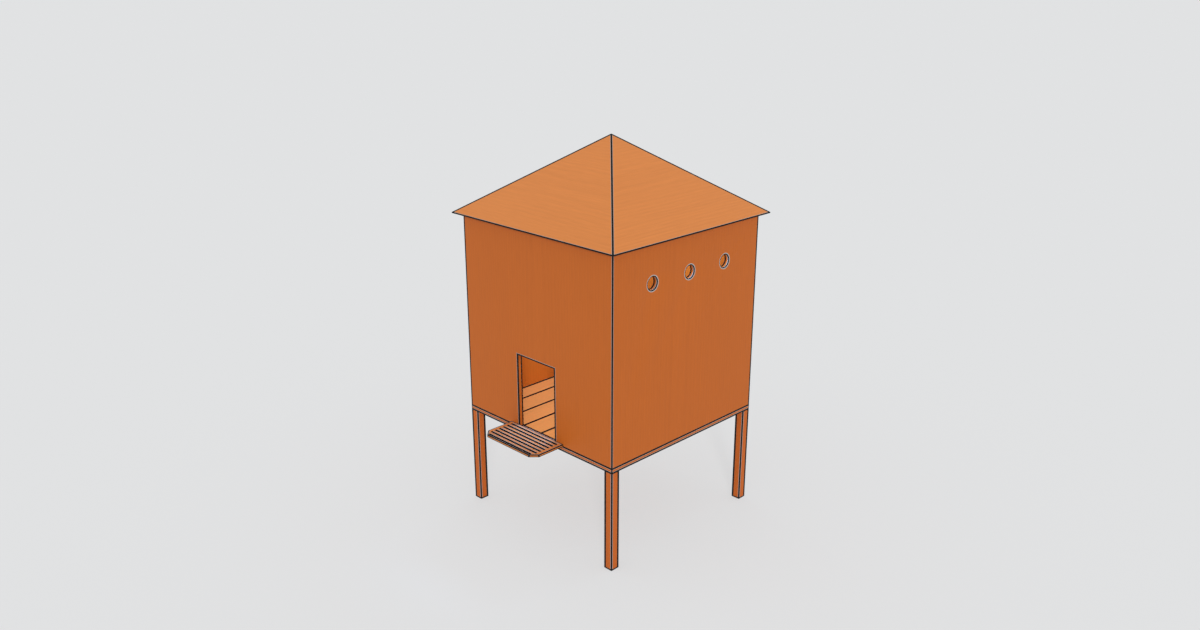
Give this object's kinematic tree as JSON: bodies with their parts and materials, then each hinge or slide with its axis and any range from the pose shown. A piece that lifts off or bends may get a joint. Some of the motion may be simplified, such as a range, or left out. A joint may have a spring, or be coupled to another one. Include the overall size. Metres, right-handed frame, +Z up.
{
  "type": "pigeon coop",
  "caption": "Square wooden pigeon coop on legs, with a pyramid roof, an open doorway with a grooved landing board, and round vents.",
  "frame": {"origin": "on the ground, at the middle of the whole part's footprint, landing board included", "axes": "+Z up, -Y out through the doorway, +X to the right when facing the coop's back from its doorway side"},
  "size_m": [0.862, 0.978, 1.5236],
  "materials": {
    "wall_wood": "satin orange-brown wood stain",
    "roof_wood": "satin light orange-brown wood stain",
    "floor_wood": "matte light orange-brown wood stain",
    "frame_wood": "matte orange-brown wood stain",
    "leg_wood": "satin orange-brown wood stain"
  },
  "bodies": {
    "root": {"front_right_leg": "leg_wood", "back_right_leg": "leg_wood", "back_left_leg": "leg_wood", "front_left_leg": "leg_wood", "front_floor_rim": "wall_wood", "right_floor_rim": "wall_wood", "back_floor_rim": "wall_wood", "left_floor_rim": "wall_wood", "floor_board_1": "floor_wood", "floor_board_2": "floor_wood", "floor_board_3": "floor_wood", "floor_board_4": "floor_wood", "floor_board_5": "floor_wood", "floor_board_6": "floor_wood", "floor_board_7": "floor_wood", "floor_board_8": "floor_wood", "front_floor_batten": "frame_wood", "middle_floor_batten": "frame_wood", "back_floor_batten": "frame_wood", "front_wall": "wall_wood", "right_wall": "wall_wood", "back_wall": "wall_wood", "left_wall": "wall_wood", "front_right_corner_batten": "frame_wood", "back_right_corner_batten": "frame_wood", "back_left_corner_batten": "frame_wood", "front_left_corner_batten": "frame_wood", "front_wall_plate": "frame_wood", "right_wall_plate": "frame_wood", "back_wall_plate": "frame_wood", "left_wall_plate": "frame_wood", "front_right_hip_rafter": "frame_wood", "back_right_hip_rafter": "frame_wood", "back_left_hip_rafter": "frame_wood", "front_left_hip_rafter": "frame_wood", "apex_block": "frame_wood", "front_roof_panel": "roof_wood", "right_roof_panel": "roof_wood", "back_roof_panel": "roof_wood", "left_roof_panel": "roof_wood", "landing_board": "floor_wood", "landing_ledger": "frame_wood"}
  },
  "joints": []
}
